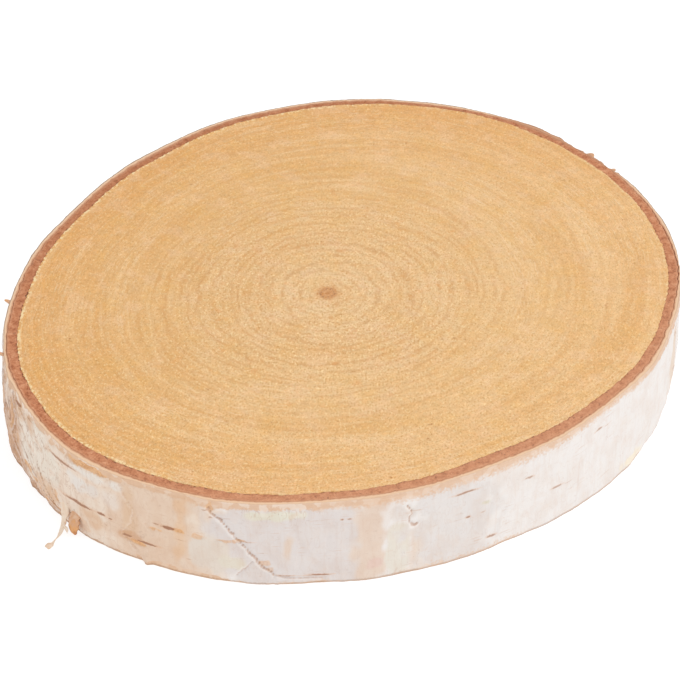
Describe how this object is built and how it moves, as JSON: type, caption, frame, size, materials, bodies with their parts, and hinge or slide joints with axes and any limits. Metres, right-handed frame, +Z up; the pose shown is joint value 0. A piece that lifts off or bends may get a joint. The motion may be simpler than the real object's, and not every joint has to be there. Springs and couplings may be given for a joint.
{
  "type": "birch wood slice",
  "caption": "Round, slightly oval slice sawn across a birch trunk, with flat sawn faces and papery white bark round its edge.",
  "frame": {"origin": "middle of the slice's bounding box, on the flat sawn underside that it rests on", "axes": "+Z up through the slice's thickness, from the sawn underside to the sawn top face; +X to the right and +Y to the back of the slice as it lies"},
  "size_m": [0.2054, 0.2022, 0.03],
  "materials": {
    "sawn_birch": "end grain as sawn, dry and dull, with faint growth rings and fine saw marks",
    "inner_bark": "reddish-brown corky inner bark, dry and dull",
    "outer_bark": "papery white outer bark with brown lenticels, satin, peeling in places to tan"
  },
  "bodies": {
    "root": {"birch_slice": "sawn_birch"}
  },
  "joints": []
}
